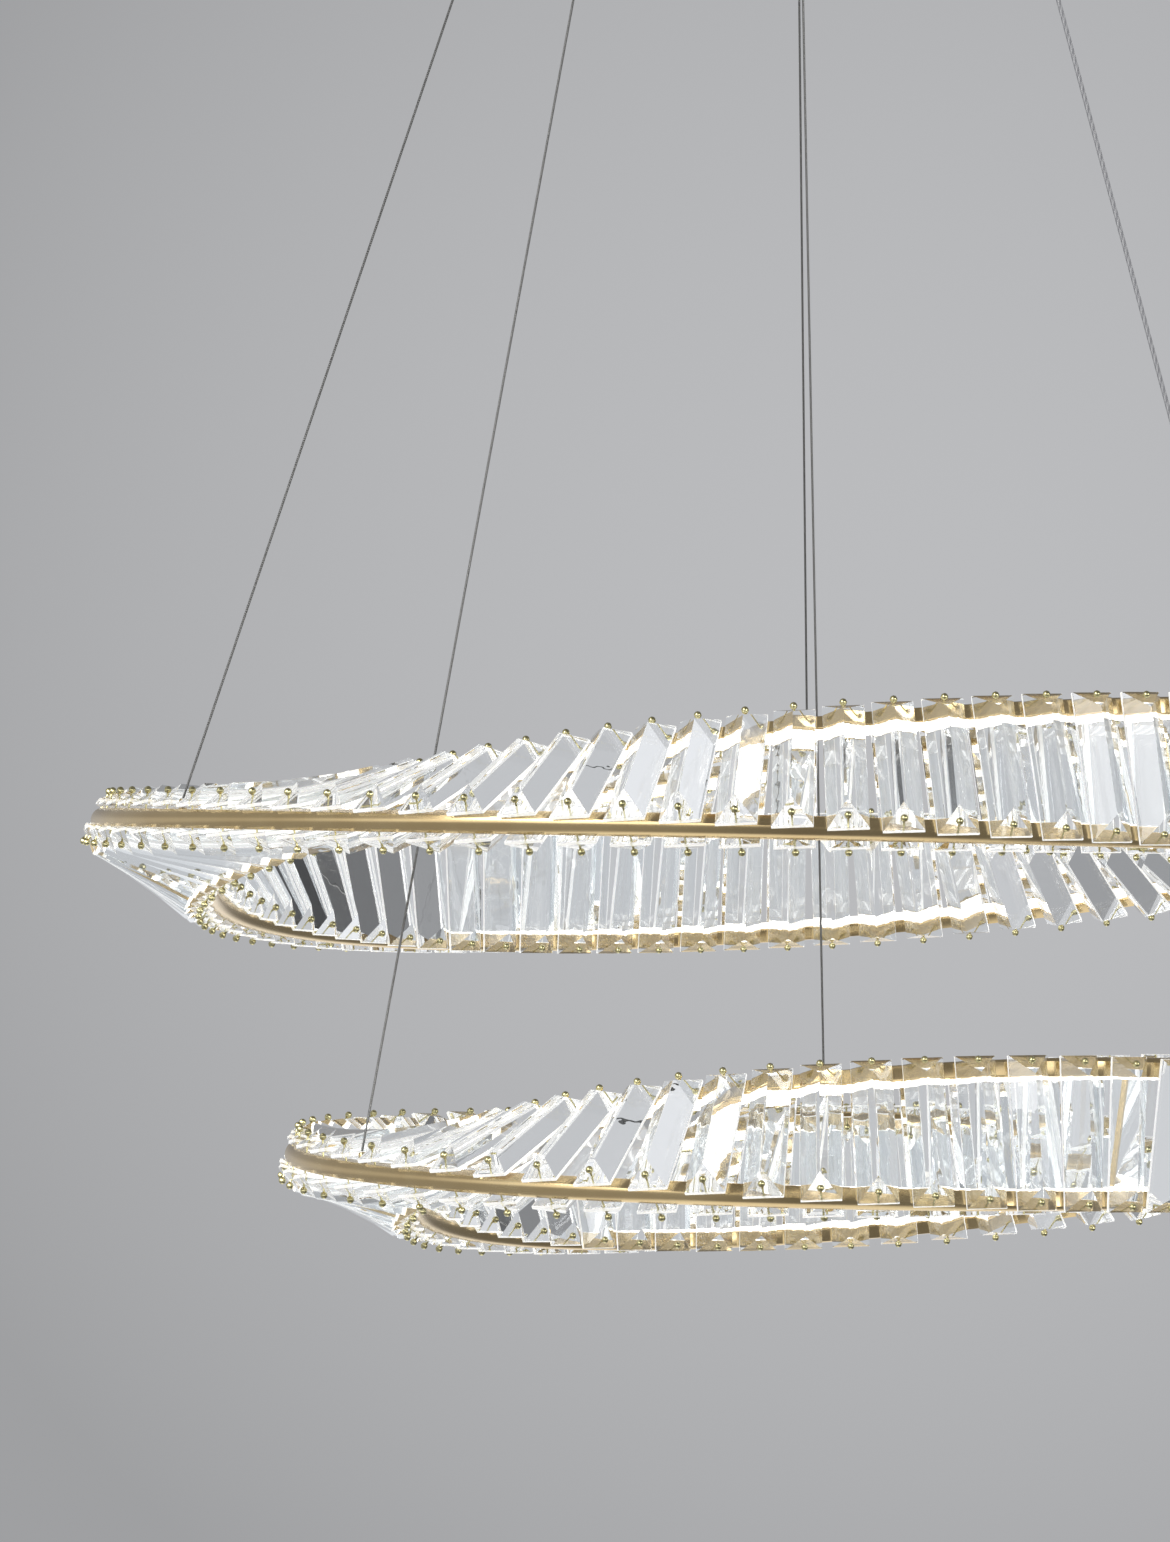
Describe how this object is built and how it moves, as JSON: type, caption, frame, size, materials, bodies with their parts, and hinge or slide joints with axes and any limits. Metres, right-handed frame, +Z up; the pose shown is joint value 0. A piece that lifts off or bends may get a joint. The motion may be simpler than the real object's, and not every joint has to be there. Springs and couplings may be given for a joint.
{
  "type": "ring chandelier",
  "caption": "Tiered pendant light: two level rings, each a full-twist band of hipped crystal bars between gold rails, hung on wires from a round ceiling canopy.",
  "frame": {"origin": "middle of the ceiling bracket's top face, where it meets the ceiling", "axes": "+Z up, +Y towards the rear wires, +X along the bracket's long arms"},
  "size_m": [0.7906, 0.7788, 0.9931],
  "materials": {
    "gold_rail": "satin gold anodised",
    "gold_cover": "satin gold plated",
    "gold_turned": "satin",
    "steel_turned": "turned",
    "crystal": "clear polished facets",
    "led_strip": "diffusing silicone cover",
    "steel_wire": "stranded",
    "feed_cable": "clear sleeve over tinned strands",
    "zinc_steel": "zinc plated",
    "driver_case": "moulded",
    "terminal_body": "moulded"
  },
  "bodies": {
    "canopy": {"ceiling_bracket": "zinc_steel", "canopy_cover": "gold_cover", "canopy_side_screws": "gold_turned", "led_driver_upper": "driver_case", "led_driver_lower": "driver_case", "supply_terminal": "terminal_body", "cable_grippers": "gold_turned", "gripper_locknuts": "gold_turned", "wire_tails": "steel_wire", "upper_wire_rear": "steel_wire", "upper_wire_left": "steel_wire", "upper_wire_right": "feed_cable", "gripper_spring_upper_rear": "steel_turned", "gripper_spring_upper_left": "steel_turned", "gripper_spring_upper_right": "steel_turned", "lower_wire_rear": "steel_wire", "lower_wire_left": "steel_wire", "lower_wire_right": "feed_cable", "gripper_spring_lower_rear": "steel_turned", "gripper_spring_lower_left": "steel_turned", "gripper_spring_lower_right": "steel_turned"},
    "ring_upper": {"upper_rail_a": "gold_rail", "upper_rail_b": "gold_rail", "upper_led_strip_a": "led_strip", "upper_led_strip_b": "led_strip", "upper_crystals_first": "crystal", "upper_crystals_second": "crystal", "upper_struts": "gold_rail", "upper_wire_anchors": "gold_turned"},
    "ring_lower": {"lower_rail_a": "gold_rail", "lower_rail_b": "gold_rail", "lower_led_strip_a": "led_strip", "lower_led_strip_b": "led_strip", "lower_crystals_first": "crystal", "lower_crystals_second": "crystal", "lower_struts": "gold_rail", "lower_wire_anchors": "gold_turned"},
    "release_plunger_upper_rear": {"release_plunger_upper_rear": "steel_turned"},
    "release_plunger_upper_left": {"release_plunger_upper_left": "steel_turned"},
    "release_plunger_upper_right": {"release_plunger_upper_right": "steel_turned"},
    "release_plunger_lower_rear": {"release_plunger_lower_rear": "steel_turned"},
    "release_plunger_lower_left": {"release_plunger_lower_left": "steel_turned"},
    "release_plunger_lower_right": {"release_plunger_lower_right": "steel_turned"}
  },
  "joints": [
    {"name": "upper_ring_height", "type": "slide", "parent": "canopy", "child": "ring_upper", "axis": [0, 0, 1], "range_m": [-0.12, 0.3], "deforming": ["upper_wire_rear", "upper_wire_left", "upper_wire_right"]},
    {"name": "lower_ring_height", "type": "slide", "parent": "canopy", "child": "ring_lower", "axis": [0, 0, 1], "range_m": [-0.3, 0.25], "deforming": ["lower_wire_rear", "lower_wire_left", "lower_wire_right"]},
    {"name": "press_upper_rear", "type": "slide", "parent": "canopy", "child": "release_plunger_upper_rear", "axis": [0, 0, 1], "range_m": [0, 0.002], "stiffness_N_per_m": 1000, "springref_m": -0.002, "deforming": ["gripper_spring_upper_rear"]},
    {"name": "press_upper_left", "type": "slide", "parent": "canopy", "child": "release_plunger_upper_left", "axis": [0, 0, 1], "range_m": [0, 0.002], "stiffness_N_per_m": 1000, "springref_m": -0.002, "deforming": ["gripper_spring_upper_left"]},
    {"name": "press_upper_right", "type": "slide", "parent": "canopy", "child": "release_plunger_upper_right", "axis": [0, 0, 1], "range_m": [0, 0.002], "stiffness_N_per_m": 1000, "springref_m": -0.002, "deforming": ["gripper_spring_upper_right"]},
    {"name": "press_lower_rear", "type": "slide", "parent": "canopy", "child": "release_plunger_lower_rear", "axis": [0, 0, 1], "range_m": [0, 0.002], "stiffness_N_per_m": 1000, "springref_m": -0.002, "deforming": ["gripper_spring_lower_rear"]},
    {"name": "press_lower_left", "type": "slide", "parent": "canopy", "child": "release_plunger_lower_left", "axis": [0, 0, 1], "range_m": [0, 0.002], "stiffness_N_per_m": 1000, "springref_m": -0.002, "deforming": ["gripper_spring_lower_left"]},
    {"name": "press_lower_right", "type": "slide", "parent": "canopy", "child": "release_plunger_lower_right", "axis": [0, 0, 1], "range_m": [0, 0.002], "stiffness_N_per_m": 1000, "springref_m": -0.002, "deforming": ["gripper_spring_lower_right"]}
  ]
}
